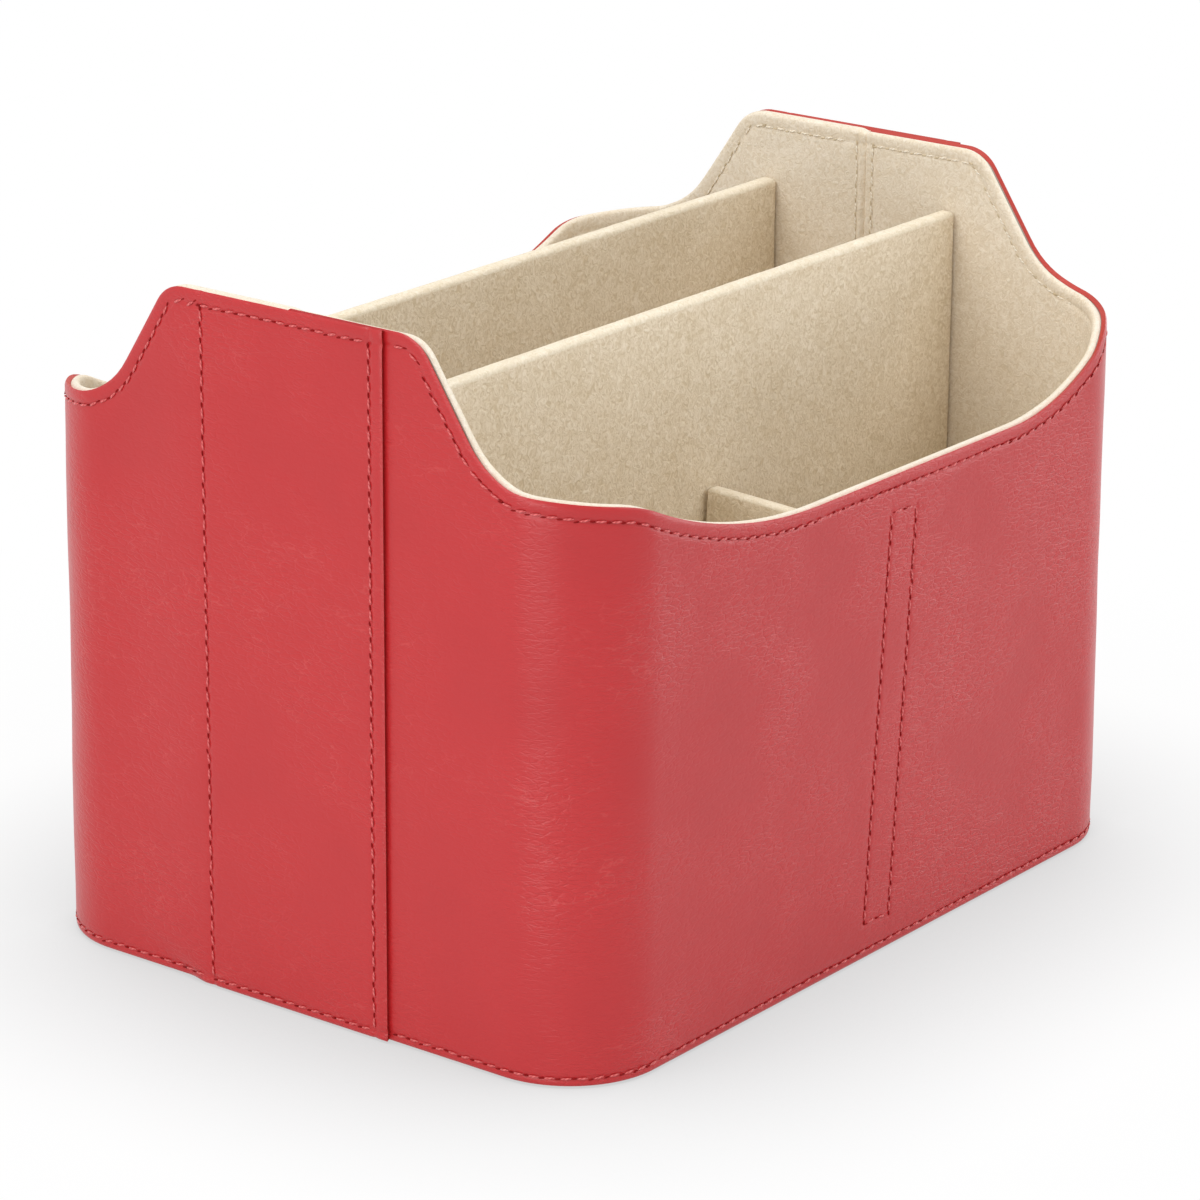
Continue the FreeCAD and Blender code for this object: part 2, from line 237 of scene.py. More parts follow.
def rim_at(end, side, along):
    """Gives the rim's height and its fall in radians. A place below zero is past the end's middle."""
    if along < 0:
        side = -side
        along = -along
    stretches = low_rim if (end, side) == (1, -1) else common_rim
    for (start, height, fall), (stop, _, last_fall), radius in stretches:
        if along <= stop:
            break
    if radius is None:
        return height - (along - start) * math.tan(fall), fall
    turn = math.copysign(1, last_fall - fall)
    here = math.asin(math.sin(fall) + turn * (along - start) / radius)
    return height - turn * radius * (math.cos(fall) - math.cos(here)), here


def wall_point(end, side, along, height, inset):
    """Lays a point of the unrolled wall round the caddy, this far in from its outside face."""
    if along <= end_half:
        return Vector((end * (half_length - inset), side * along, height))
    if along >= side_start:
        return Vector((end * (quarter - along), side * (half_width - inset), height))
    turn = (along - end_half) / corner_radius
    reach = corner_radius - inset
    lengthwise = end * (side_half + reach * math.cos(turn))
    sideways = side * (end_half + reach * math.sin(turn))
    return Vector((lengthwise, sideways, height))


def columns(first_end, start, fine):
    """Lists places round a half shell, closer in the tight bends and beside the sewn rows."""
    listed = []
    for end in (first_end, -first_end):
        places = [start, start + 0.25, start + 0.7]
        while places[-1] < quarter - 1:
            places.append(places[-1] + (0.7 if 26 < places[-1] < 37 else 1.5 if places[-1] < 100 else 2.2))
        rows = fine.get(end, [])
        places = [at for at in places[:-1] if all(abs(at - row) > 1.5 for row in rows)] + [quarter]
        for row in rows:
            places += [row + step for step in (-1.2, -0.8, -0.4, 0, 0.4, 0.8, 1.2)]
        places.sort()
        listed += [(end, at) for at in (places if end == first_end else places[-2::-1])]
    return listed


def lay_sheet(name, listed, rows, put):
    """Adds a flat grid and lays each of its points at its place on the wall."""
    bpy.ops.object.select_all(action="DESELECT")
    across = len(listed) - 1
    up = len(rows) - 1
    bpy.ops.mesh.primitive_grid_add(x_subdivisions=across, y_subdivisions=up, size=1)
    sheet = bpy.context.object
    sheet.name = name
    sheet.data.name = name
    for point in sheet.data.vertices:
        end, along = listed[round((point.co.x + 0.5) * across)]
        kind, value = rows[round((point.co.y + 0.5) * up)]
        point.co = put(end, along, kind, value) * MM
    return sheet


def thicken(sheet, thickness, materials, edge, angle):
    """Gives a laid sheet its thickness on the side away from its face."""
    solid = sheet.modifiers.new("thickness", "SOLIDIFY")
    solid.thickness = thickness * MM
    solid.offset = -1
    solid.use_even_offset = True
    solid.material_offset_rim = edge
    for material in materials:
        sheet.data.materials.append(material)
    bpy.ops.object.modifier_apply(modifier=solid.name)
    bpy.ops.object.shade_smooth_by_angle(angle=math.radians(angle))


def drawn_in(spot):
    """The corners lean in a little towards the top, where the bent board pulls flatter."""
    lean_in = 0.9
    crest_height = 125
    over_x = abs(spot[0]) - side_half
    over_y = abs(spot[1]) - end_half
    if over_x <= 0 or over_y <= 0:
        return 0.0
    return lean_in * spot[2] / crest_height * math.sin(2 * math.atan2(over_y, over_x)) ** 2


def round_wall(end, side, along, height, inset):
    """Lays a point round the wall as wall_point does, also past the middle of an end."""
    if along < 0:
        side = -side
        along = -along
    inset += drawn_in(wall_point(end, side, along, height, 0))
    return wall_point(end, side, along, height, inset)


def eased(value):
    """Runs smoothly from 0 to 1."""
    value = min(1.0, max(0.0, value))
    return value * value * (3 - 2 * value)


def sunk(distance):
    """How far a sewn row pulls the sheet in, across the row."""
    return 0.24 * math.exp(-(distance / 0.6) ** 2)


jog_start = lap + 0.3


def stepped_out(along, level):
    """How far the left leather stands off near its flap, to ride over the tongue: crisp only at the hem."""
    run = 6 + 18 * eased(level / 9)
    return leather * eased((jog_start + run - along) / run)


# The roll along the top gets a paler cloth than the wall: a painted highlight where the fold faces up into
# the light.
suede_lit_fold = microsuede("microsuede painted lighter on the fold", "#F7EEDF", "#EADEC8", 1.1, 0.3)
lining_thickness = 0.6
lining_floor = 2.9
lining_band = 6.2
lining_row = 3.2
joint_row = 2.2
lining_rows = [("wall", step / 44) for step in range(45)]
lining_rows += [("rim", drop) for drop in (5.2, 4.4, 4.0, 3.6, 3.2, 2.8, 2.4, 2.0, 1.6)]
lining_rows += [("roll", math.pi * step / 10) for step in range(11)]


def lining_put(side):
    edge = joint if side < 0 else -joint

    def put(end, along, kind, value):
        height, fall = rim_at(end, side, along)
        outer = leather + 0.05 - (stepped_out(along, height) if side > 0 else 0.0)
        inset = wall - 0.55 * max(0.0, 1 - (along - edge) / 0.8) ** 2
        # How far the roll lies below the rim: lower by the joint and on the near end, and raised over the
        # leather's edge along the left half's far crest.
        if side > 0:
            inset += 0.3 * math.exp(-((along - edge - 1.0) / 0.6) ** 2)
            low = 0.1 + 0.45 * eased(1 - (along - edge) / 2.5)
            if end < 0:
                low += 0.3 * eased((36 - along) / 9)
            else:
                raised = 0.5 * eased((along - 40) / 14) + 0.45 * eased((along - 85) / 20)
                low -= raised * eased((155 - along) / 25)
        else:
            low = 0.2 + (0.65 * eased((36 - along) / 9) if end < 0 else 0.3 * eased((112 - along) / 14))
        if kind == "roll":
            inset = (outer + inset) / 2 + (inset - outer) / 2 * math.cos(value)
            drop = low + 1.1 - 1.3 * math.sin(value) ** 0.7
        elif kind == "rim":
            drop = value + low * max(0.0, (lining_row - value) / 1.6)
            inset -= sunk(drop - lining_row) + sunk(along - edge - joint_row)
        else:
            drop = lining_band
            inset -= sunk(along - edge - joint_row)
        place = along - drop * math.sin(fall)
        level = height - drop * math.cos(fall)
        if kind == "wall":
            level = lining_floor + (level - lining_floor) * value
        return round_wall(end, side, place, level, inset)

    return put


for name, node, side in (("left_lining", "lining_left", 1), ("right_lining", "lining_right", -1)):
    start = -joint * side
    listed = columns(-side, start, {end: [start + joint_row] for end in (-1, 1)})
    sheet = lay_sheet(name, listed, lining_rows, lining_put(side))
    # Faces of the roll take the paler cloth, which paints the highlight on the fold.
    for face in sheet.data.polygons:
        face.material_index = int(face.index // (len(listed) - 1) > len(lining_rows) - 8)
    thicken(sheet, lining_thickness, [suede, suede_lit_fold], 0, 60)
    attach(sheet, "shell")
    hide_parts(node)


# Leather: red polyurethane-coated leather, 1.2 mm, glued round the board with its cut edges rubbed round.
# The left half steps out at each end and lies as a flap over the right half's tongue.
def red_leather(name, light, dark, gloss):
    """A smooth coated face with a soft shine: faint clouding in the red, patches of hair-fine creases that
    are bumped and painted pale along their lines as a highlight, fine wrinkles along the wall, a crackle of
    small cells and a very fine grain."""
    hide = new_material(name)
    place = add_node(hide, "ShaderNodeTexCoord").outputs["Object"]
    cloud = add_node(hide, "ShaderNodeTexNoise", {"Vector": place, "Scale": 1000 / 30, "Detail": 4})
    long = add_node(hide, "ShaderNodeVectorMath", {0: place, 1: (1.0, 1.0, 2.8)}, operation="MULTIPLY")
    fold = add_node(hide, "ShaderNodeTexNoise", {"Vector": long.outputs[0], "Scale": 1000 / 24, "Detail": 4,
                                                 "Roughness": 0.55, "Distortion": 0.3})
    fine = add_node(hide, "ShaderNodeTexNoise", {"Vector": long.outputs[0], "Scale": 1000 / 8, "Detail": 3,
                                                 "Roughness": 0.55, "Distortion": 0.5})
    grain = add_node(hide, "ShaderNodeTexNoise", {"Vector": place, "Scale": 1000 / 0.9, "Detail": 2})
    ripple = add_node(hide, "ShaderNodeTexNoise", {"Vector": long.outputs[0], "Scale": 1000 / 4.5,
                                                   "Detail": 2, "Distortion": 0.8})
    where = add_node(hide, "ShaderNodeMapRange", {"Value": cloud.outputs[0], "From Min": 0.40,
                                                  "From Max": 0.62, "To Min": 0.25})
    ripple = add_node(hide, "ShaderNodeMath", {0: ripple.outputs[0], 1: where.outputs[0]},
                      operation="MULTIPLY")
    bent = add_node(hide, "ShaderNodeVectorMath", {0: fine.outputs[1], 1: (0.003, 0.003, 0.003),
                                                   2: long.outputs[0]}, operation="MULTIPLY_ADD")
    crackle = add_node(hide, "ShaderNodeTexVoronoi", {"Vector": bent.outputs[0], "Scale": 1000 / 2.8},
                       feature="DISTANCE_TO_EDGE")
    crackle = add_node(hide, "ShaderNodeMapRange", {"Value": crackle.outputs["Distance"], "From Max": 0.14})
    crackle = add_node(hide, "ShaderNodeMath", {0: crackle.outputs[0], 1: where.outputs[0]},
                       operation="MULTIPLY")
    marks = []
    for source, width, first, last in ((fold, 0.007, 0.44, 0.60), (fine, 0.010, 0.54, 0.66)):
        off = add_node(hide, "ShaderNodeMath", {0: source.outputs[0], 1: 0.5}, operation="SUBTRACT")
        off = add_node(hide, "ShaderNodeMath", {0: off.outputs[0]}, operation="ABSOLUTE")
        line = add_node(hide, "ShaderNodeMapRange", {"Value": off.outputs[0], "From Max": width,
                                                     "To Min": 1.0, "To Max": 0.0})
        patch = add_node(hide, "ShaderNodeMapRange", {"Value": cloud.outputs[0], "From Min": first,
                                                      "From Max": last})
        marks.append(add_node(hide, "ShaderNodeMath", {0: line.outputs[0], 1: patch.outputs[0]},
                              operation="MULTIPLY"))
    crease = add_node(hide, "ShaderNodeMath", {0: marks[0].outputs[0], 1: marks[1].outputs[0]},
                      operation="MAXIMUM")
    height = add_node(hide, "ShaderNodeMath", {0: fold.outputs[0], 1: 0.12}, operation="MULTIPLY")
    for source, depth in ((ripple, 0.20), (crackle, 0.065), (grain, 0.03), (crease, 0.03)):
        height = add_node(hide, "ShaderNodeMath", {0: source.outputs[0], 1: depth, 2: height.outputs[0]},
                          operation="MULTIPLY_ADD")
    bump = add_node(hide, "ShaderNodeBump", {"Height": height.outputs[0], "Strength": 1.0,
                                             "Distance": 1 * MM})
    tint = add_node(hide, "ShaderNodeMix", {0: cloud.outputs[0], 6: colour(dark), 7: colour(light)},
                    data_type="RGBA")
    # Pale pink along the creases is a painted highlight where they catch the light.
    painted_crease_highlight = add_node(hide, "ShaderNodeMath", {0: crease.outputs[0], 1: 0.13}, operation="MULTIPLY")
    tint = add_node(hide, "ShaderNodeMix", {0: painted_crease_highlight.outputs[0], 6: tint.outputs[2], 7: colour("#E58078")},
                    data_type="RGBA")
    rough = add_node(hide, "ShaderNodeMapRange", {"Value": cloud.outputs[0], "To Min": gloss - 0.06,
                                                  "To Max": gloss + 0.06})
    shader = add_node(hide, "ShaderNodeBsdfPrincipled", {
        "Base Color": tint.outputs[2], "Roughness": rough.outputs[0], "Specular IOR Level": 0.5,
        "Normal": bump.outputs[0]})
    add_node(hide, "ShaderNodeOutputMaterial", {"Surface": shader.outputs[0]})
    return hide


hide = red_leather("red coated leather", "#C0272A", "#AE1E22", 0.34)
hide_edge = red_leather("painted leather edge", "#BE3A2C", "#AB2A20", 0.55)

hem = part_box("leather_left")[0].z / MM
hem_row = 2.0
rim_row = 3.0
flap_rows = (-21.4, 23.1)
seam_middle = Vector((3.1, 0, 53.65))
seam_half = Vector((4.6, 0, 45.55))
seam_lean = math.radians(4.2)
tongue_drop = 0.9
leather_rim_band = 6.4
leather_hem_band = 9.4
leather_rows = [("hem", level) for level in (hem, 0.5, 0.9, 1.3, 1.65, 2.0, 2.35, 2.7, 3.2, 4.2, 5.4, 6.6,
                                             7.3, 7.7, 8.1, 8.5, 8.9)]
leather_rows += [("wall", step / 52) for step in range(51)]
leather_rows += [("wall", share) for share in (0.9675, 0.972, 0.9765, 0.981, 0.9855, 0.99, 1.0)]
leather_rows += [("rim", drop) for drop in (5.4, 4.7, 4.1, 3.65, 3.3, 3.0, 2.7, 2.35, 1.8, 0.9, 0.4, 0.12, 0)]


def leather_put(side):
    held_rows = flap_rows if side > 0 else (-flap_rows[1], -flap_rows[0])

    def put(end, along, kind, value):
        height, fall = rim_at(end, side, along)
        top = tongue_drop if side < 0 and along < -joint else 0.0
        drop = value + top if kind == "rim" else leather_rim_band + top
        place = along - drop * math.sin(fall)
        level = height - drop * math.cos(fall)
        if kind == "wall":
            level = leather_hem_band + (level - leather_hem_band) * value
        elif kind == "hem":
            level = value
        from_rim = value if kind == "rim" else height - level
        from_hem = level - hem
        inset = 0.32 * max(0.0, 1 - min(from_rim, from_hem, along + lap) / 0.9) ** 2
        if side > 0 or along > lap - 1:
            inset += sunk(level - hem_row) + (sunk(value - rim_row) if kind == "rim" else 0.0)
        if side > 0:
            inset += max(sunk(place - row) for row in flap_rows) - stepped_out(place, level)
        spot = round_wall(end, side, place, level, 0)
        free = [from_rim, from_hem] + [abs(place - row) for row in held_rows]
        turn = 0.0
        if side < 0 and place > side_start:
            across = spot.x - seam_middle.x
            turn = eased((38 - abs(across)) / 26)
            beside = abs(across) - seam_half.x
            beyond = abs(level - seam_middle.z) - seam_half.z
            free.append(math.hypot(max(beside, 0), max(beyond, 0)) if max(beside, beyond) > 0 else
                        -max(beside, beyond))
            if beyond < 0.5 and abs(beside) < 3:
                inset += sunk(beside)
            elif beside < 0.5 and abs(beyond) < 3:
                inset += sunk(beyond)
        loose = eased((min(free) - 3) / 16)
        inset += loose * (0.25 * noise.noise(spot * 0.021) + 0.10 * noise.noise(spot * 0.07))
        spot = round_wall(end, side, place, level, inset)
        if turn:
            kept = eased(min(from_rim, from_hem) / 7)
            spot.x += turn * math.tan(seam_lean) * (level - seam_middle.z)
            spot.z -= turn * kept * math.sin(seam_lean) * across
        return spot

    return put


flap_fine = {end: list(flap_rows) for end in (-1, 1)}
seam_fine = {-1: [quarter + seam_middle.x - seam_half.x], 1: [quarter - seam_middle.x - seam_half.x]}
for name, node, side, fine in (("left_leather", "leather_left", 1, flap_fine),
                               ("right_leather", "leather_right", -1, seam_fine)):
    sheet = lay_sheet(name, columns(side, -lap, fine), leather_rows, leather_put(side))
    thicken(sheet, leather - 0.05, [hide, hide_edge], 1, 50)
    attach(sheet, "shell")
    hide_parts(node)


# Stitches: polyester thread about 0.6 mm thick, lockstitched at 3.4 mm. Each stitch is drawn down into its
# needle holes at both ends, red through the leather and beige through the lining.
pitch = 3.4


def thread(name, light, dark):
    """Twisted filament thread: a soft shine, with the twist as fine slanting bands along each stitch, bumped,
    and painted with a pale highlight on each ply and shade between them.
    """
    yarn = new_material(name)
    place = add_node(yarn, "ShaderNodeTexCoord").outputs["UV"]
    slant = add_node(yarn, "ShaderNodeVectorMath", {0: place, 1: (2.0, 4.0, 0.0)}, operation="MULTIPLY")
    plies = add_node(yarn, "ShaderNodeTexWave", {"Vector": slant.outputs[0], "Scale": 0.5, "Distortion": 0.4},
                     bands_direction="DIAGONAL")
    # Light and dark along the plies are a painted highlight and painted shade, besides the bump.
    tint = add_node(yarn, "ShaderNodeMix", {0: plies.outputs[1], 6: colour(dark), 7: colour(light)},
                    data_type="RGBA")
    bump = add_node(yarn, "ShaderNodeBump", {"Height": plies.outputs[1], "Strength": 0.5,
                                             "Distance": 0.06 * MM})
    shader = add_node(yarn, "ShaderNodeBsdfPrincipled", {
        "Base Color": tint.outputs[2], "Roughness": 0.5, "Sheen Weight": 0.2, "Normal": bump.outputs[0]})
    add_node(yarn, "ShaderNodeOutputMaterial", {"Surface": shader.outputs[0]})
    return yarn


def needle_hole_shade(name, light, dark):
    """Painted shade in the needle hole where the thread goes through: the pierced sheet drawn darker than the
    face round it.
    """
    hole = new_material(name)
    place = add_node(hole, "ShaderNodeTexCoord").outputs["Object"]
    torn = add_node(hole, "ShaderNodeTexNoise", {"Vector": place, "Scale": 1000 / 0.5, "Detail": 2})
    tint = add_node(hole, "ShaderNodeMix", {0: torn.outputs[0], 6: colour(dark), 7: colour(light)},
                    data_type="RGBA")
    shader = add_node(hole, "ShaderNodeBsdfPrincipled", {"Base Color": tint.outputs[2], "Roughness": 0.9,
                                                         "Specular IOR Level": 0.1})
    add_node(hole, "ShaderNodeOutputMaterial", {"Surface": shader.outputs[0]})
    return hole


red_thread = thread("red polyester thread", "#DA6664", "#B93A3C")
red_hole_shade = needle_hole_shade("painted shade of needle hole in leather", "#99201F", "#741417")
beige_thread = thread("beige polyester thread", "#FBF3E4", "#E2D3B8")
beige_hole_shade = needle_hole_shade("painted shade of needle hole in microsuede", "#DCCDB0", "#CBB897")

# One stitch: a sphere drawn out along X with its ends bent down, and a flat dark bead beside it that paints
# the shade in the needle hole.
stitch_half = (1.1, 0.25, 0.21)
hole_half = (0.62, 0.21, 0.16)
bpy.ops.object.select_all(action="DESELECT")
bpy.ops.mesh.primitive_uv_sphere_add(segments=8, ring_count=7, radius=1)
bpy.ops.object.mode_set(mode="EDIT")
bpy.ops.mesh.select_all(action="SELECT")
bpy.ops.transform.rotate(value=math.pi / 2, orient_axis="Y", center_override=(0, 0, 0))
bpy.ops.transform.resize(value=[half * MM for half in stitch_half], center_override=(0, 0, 0))
bpy.ops.object.mode_set(mode="OBJECT")
stitch = bpy.context.object
for point in stitch.data.vertices:
    point.co.z -= 0.2 * MM * (point.co.x / (stitch_half[0] * MM)) ** 4
bpy.ops.object.select_all(action="DESELECT")
bpy.ops.mesh.primitive_uv_sphere_add(segments=8, ring_count=4, radius=1)
bpy.ops.object.mode_set(mode="EDIT")
bpy.ops.mesh.select_all(action="SELECT")
bpy.ops.transform.resize(value=[half * MM for half in hole_half], center_override=(0, 0, 0))
bpy.ops.transform.translate(value=(pitch / 2 * MM, 0, -0.1 * MM))
bpy.ops.object.mode_set(mode="OBJECT")
bead = bpy.context.object

# The CAD model has the rim's row this far below the rim, and its step beside the flap ends within this run.
cad_rim_row = 3.6
cad_step_run = 2.5
left_threads = ("rim_thread_left", "hem_thread_left")


def sew(node, yarn, hole, facing):
    """Copies the stitch to every place where the CAD model has one, turned to the sheet it lies on."""
    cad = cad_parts[node].data
    corners = np.array([point.co for point in cad.vertices])
    faces = np.array([face.vertices for face in cad.polygons])
    points, loops, uvs, kinds = [], [], [], []
    count = 0
    wobble = np.random.default_rng(len(faces))
    boxes = [corners[np.unique(faces[start:start + 12])] for start in range(0, len(faces), 12)]
    if node in left_threads:
        # One more stitch crosses the step beside the flap, at each end.
        for end in (-1, 1):
            past = [box for box in boxes if end * box[:, 0].mean() > half_length * MM
                    and box[:, 1].mean() > jog_start * MM]
            first = min(past, key=lambda box: box[:, 1].mean())
            step = leather * max(0.0, 1 - (first[:, 1].mean() / MM - pitch - jog_start) / cad_step_run)
            boxes.append(first + np.array([end * step, -pitch, 0]) * MM)
    for stitch_box in boxes:
        middle = stitch_box.mean(0)
        axes = np.linalg.eigh((stitch_box - middle).T @ (stitch_box - middle))[1]
        outward = axes[:, 0]
        outward = outward * np.sign(outward @ (middle * (1, 1, 0))) * facing
        along = axes[:, 2]
        turn = wobble.normal(0.12, 0.06)
        across = np.cross(outward, along)
        slanted = along * math.cos(turn) + across * math.sin(turn)
        frame_axes = np.array([slanted, np.cross(outward, slanted), outward])
        spot = middle / MM
        sink = 0.26 + drawn_in(spot)
        if node in left_threads and abs(spot[0]) > half_length and spot[1] > jog_start:
            cad_step = leather * max(0.0, 1 - (spot[1] - jog_start) / cad_step_run)
            sink -= stepped_out(spot[1], spot[2]) - cad_step
        seat = middle - outward * sink * MM
        if node in ("rim_thread_left", "rim_thread_right"):
            seat += across * math.copysign(cad_rim_row - rim_row, across[2]) * MM
        # The bead takes the second material, which paints the shade in the needle hole.
        for kind, model in enumerate((stitch, bead)):
            mesh = model.data
            shape = np.array([point.co for point in mesh.vertices])
            points.extend(seat + shape @ frame_axes)
            for face in mesh.polygons:
                loops.append([at + count for at in face.vertices])
                kinds.append(kind)
                uvs.extend(mesh.uv_layers[0].data[at].uv[:] for at in face.loop_indices)
            count += len(shape)
    mesh = bpy.data.meshes.new(node + "_stitches")
    mesh.from_pydata(points, [], loops)
    mesh.uv_layers.new(name="UVMap").data.foreach_set("uv", np.array(uvs).ravel())
    mesh.materials.append(yarn)
    mesh.materials.append(hole)
    mesh.polygons.foreach_set("material_index", kinds)
    mesh.polygons.foreach_set("use_smooth", [True] * len(kinds))
    mesh.update()
    piece = bpy.data.objects.new(node + "_stitches", mesh)
    bpy.context.scene.collection.objects.link(piece)
    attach(piece, "shell")
    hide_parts(node)


for node in ("lining_thread_left", "lining_thread_right", "lining_joint_thread"):
    sew(node, beige_thread, beige_hole_shade, -1)
for node in ("rim_thread_left", "rim_thread_right", "hem_thread_left", "hem_thread_right",
             "flap_thread_near", "flap_thread_far", "cross_divider_thread"):
    sew(node, red_thread, red_hole_shade, 1)
bpy.data.objects.remove(stitch)
bpy.data.objects.remove(bead)


# Insert: two long dividers and the floor between them, boards covered in one piece of beige felt that is
# drawn round their top edges. It stands loose in the caddy and lifts out.
felt = microsuede("beige felt", "#F8EBD5", "#DCC9A9", 1.5, 0.2)
# Paler felt for the rounded top edges: a painted highlight where they face up into the light.
felt_lit_edge = microsuede("felt painted lighter along the top", "#F9EEDA", "#E6D7BB", 1.3, 0.2)
felt_thickness = 0.9


def cut_along(piece, axis, cuts):
    """Cuts every long edge along an axis into equal parts, which runs the cuts right round the piece."""
    select_edges(piece, lambda first, last: abs((first - last)[axis]) > max(20, (first - last).length * 0.98))
    bpy.ops.mesh.subdivide(number_cuts=cuts)
    bpy.ops.object.mode_set(mode="OBJECT")


def soften(piece, top, rest, lump):
    """Rounds the edges of a covered board, most along its top, and lets its cover lie a little uneven. Faces
    along the top take the paler felt, a painted highlight.
    """
    if top:
        peak = max(point.co.z for point in piece.data.vertices) / MM
        select_edges(piece, lambda first, last: min(first.z, last.z) > peak - 0.1)
        bpy.ops.mesh.bevel(offset=top * MM, segments=5, affect="EDGES")
        bpy.ops.object.mode_set(mode="OBJECT")
    bevel = piece.modifiers.new("rounded edges", "BEVEL")
    bevel.width = rest * MM
    bevel.segments = 3
    bevel.limit_method = "ANGLE"
    bevel.angle_limit = math.radians(60)
    bpy.ops.object.modifier_apply(modifier=bevel.name)
    cut_along(piece, 0, 60)
    cut_along(piece, 1, 16)
    cut_along(piece, 2, 40)
    normals = [point.normal.copy() for point in piece.data.vertices]
    for point, normal in zip(piece.data.vertices, normals):
        spot = point.co / MM
        point.co += normal * (noise.noise(spot * 0.08) * 0.6 + noise.noise(spot * 0.35) * 0.4) * lump * MM
    bpy.ops.object.shade_smooth_by_angle(angle=math.radians(60))
    piece.data.materials.append(felt)
    piece.data.materials.append(felt_lit_edge)
    # Faces along the top take the paler felt: a painted highlight on the rounded top edge.
    for face in piece.data.polygons:
        face.material_index = int(face.center.z / MM > peak - top * 0.9) if top else 0


low, high = (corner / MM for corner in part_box("insert_cover"))
floor_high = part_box("insert_board_floor")[1] / MM
divider = high.y - floor_high.y + (high.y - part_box("insert_board_left")[1].y / MM)
insert = block("insert_felt", low, (high.x, high.y, floor_high.z + felt_thickness))
bpy.ops.object.mode_set(mode="EDIT")
for face in (-1, 1):
    bpy.ops.mesh.select_all(action="SELECT")
    bpy.ops.mesh.bisect(plane_co=(0, face * (high.y - divider) * MM, 0), plane_no=(0, 1, 0))
bpy.ops.mesh.select_mode(type="FACE")
bpy.ops.mesh.select_all(action="DESELECT")
bpy.ops.object.mode_set(mode="OBJECT")
for face in insert.data.polygons:
    face.select = face.normal.z > 0.9 and abs(face.center.y) > (high.y - divider) * MM
bpy.ops.object.mode_set(mode="EDIT")
rise = high.z - floor_high.z - felt_thickness
bpy.ops.mesh.extrude_region_move(TRANSFORM_OT_translate={"value": (0, 0, rise * MM)})
bpy.ops.object.mode_set(mode="OBJECT")
soften(insert, 1.3, 0.22, 0.12)
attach(insert, "insert")
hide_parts("insert_cover")


# Cross divider: a short felt-covered board that leans a little, hung on a folded felt strip which is sewn to
# the right wall through the leaning box of stitches, so that it swings like a page.
cross_foot = 7.4
cross_top = 95.0
board_half = 0.9


def leaned(piece):
    """Leans a piece that was built upright, about the middle of the seam."""
    turn = Matrix.Rotation(seam_lean, 4, "Y")
    piece.data.transform(Matrix.Translation(seam_middle * MM) @ turn @ Matrix.Translation(-seam_middle * MM))


def settled(piece):
    """Lets the top fall a little towards the wall and the free edge bow to the near end."""
    bow = 1.6
    fall = 2.6
    for point in piece.data.vertices:
        out = (point.co.y / MM - low.y) / (high.y - low.y)
        up = (point.co.z / MM - cross_foot) / (cross_top - cross_foot)
        point.co.x -= bow * out * out * MM
        point.co.z -= fall * (1 - out) * up * MM
    leaned(piece)


low, high = (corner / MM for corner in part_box("cross_divider_cover"))
cross = block("cross_divider_felt", (seam_middle.x - divider / 2, low.y, cross_foot),
              (seam_middle.x + divider / 2, high.y, cross_top))
soften(cross, 0.8, 0.4, 0.10)
settled(cross)
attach(cross, "cross_divider")
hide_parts("cross_divider_cover")

core = block("cross_divider_core",
             (seam_middle.x - board_half, low.y + felt_thickness, cross_foot + felt_thickness),
             (seam_middle.x + board_half, high.y - felt_thickness, cross_top - felt_thickness))
cut_along(core, 1, 16)
cut_along(core, 2, 40)
settled(core)
core.data.materials.append(board)
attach(core, "cross_divider")
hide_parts("cross_divider_board")

low, high = (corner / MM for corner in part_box("cross_divider_flange"))
strip_half = 6.6
strip_foot = 6.1
strip_top = 101.2
strip = block("cross_divider_strip", (seam_middle.x - strip_half, low.y, strip_foot),
              (seam_middle.x + strip_half, low.y + felt_thickness, strip_top))
bpy.ops.object.mode_set(mode="EDIT")
for edge in (-felt_thickness, felt_thickness):
    bpy.ops.mesh.select_all(action="SELECT")
    bpy.ops.mesh.bisect(plane_co=((seam_middle.x + edge) * MM, 0, 0), plane_no=(1, 0, 0))
bpy.ops.mesh.select_mode(type="FACE")
bpy.ops.mesh.select_all(action="DESELECT")
bpy.ops.object.mode_set(mode="OBJECT")
for face in strip.data.polygons:
    face.select = face.normal.y > 0.9 and abs(face.center.x / MM - seam_middle.x) < felt_thickness
bpy.ops.object.mode_set(mode="EDIT")
reach = high.y - low.y - felt_thickness
bpy.ops.mesh.extrude_region_move(TRANSFORM_OT_translate={"value": (0, reach * MM, 0)})
bpy.ops.object.mode_set(mode="OBJECT")
soften(strip, 0, 0.3, 0.05)
leaned(strip)
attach(strip, "shell")
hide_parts("cross_divider_flange")


# Floor, light and camera: a white studio table under soft boxes, photographed from the near right with a
# long lens.
bpy.ops.object.select_all(action="DESELECT")
bpy.ops.mesh.primitive_plane_add(size=8, location=(0, 0, -0.2 * MM))
bpy.ops.object.transform_apply(location=True, rotation=True, scale=True)
floor = bpy.context.object
floor.name = "floor"
# White paper sweep: matt to light that bounces off it. To the camera and in reflections it is mostly a white
# glow, darkened near the object by ambient occlusion as a painted contact shadow, and burnt out to plain
# white away from the object.
paper = new_material("white paper sweep")
place = add_node(paper, "ShaderNodeTexCoord").outputs["Object"]
far = add_node(paper, "ShaderNodeVectorMath", {0: place}, operation="LENGTH")
fade = add_node(paper, "ShaderNodeMapRange", {"Value": far.outputs["Value"], "From Min": 0.10,
                                              "From Max": 0.28}, interpolation_type="SMOOTHSTEP")
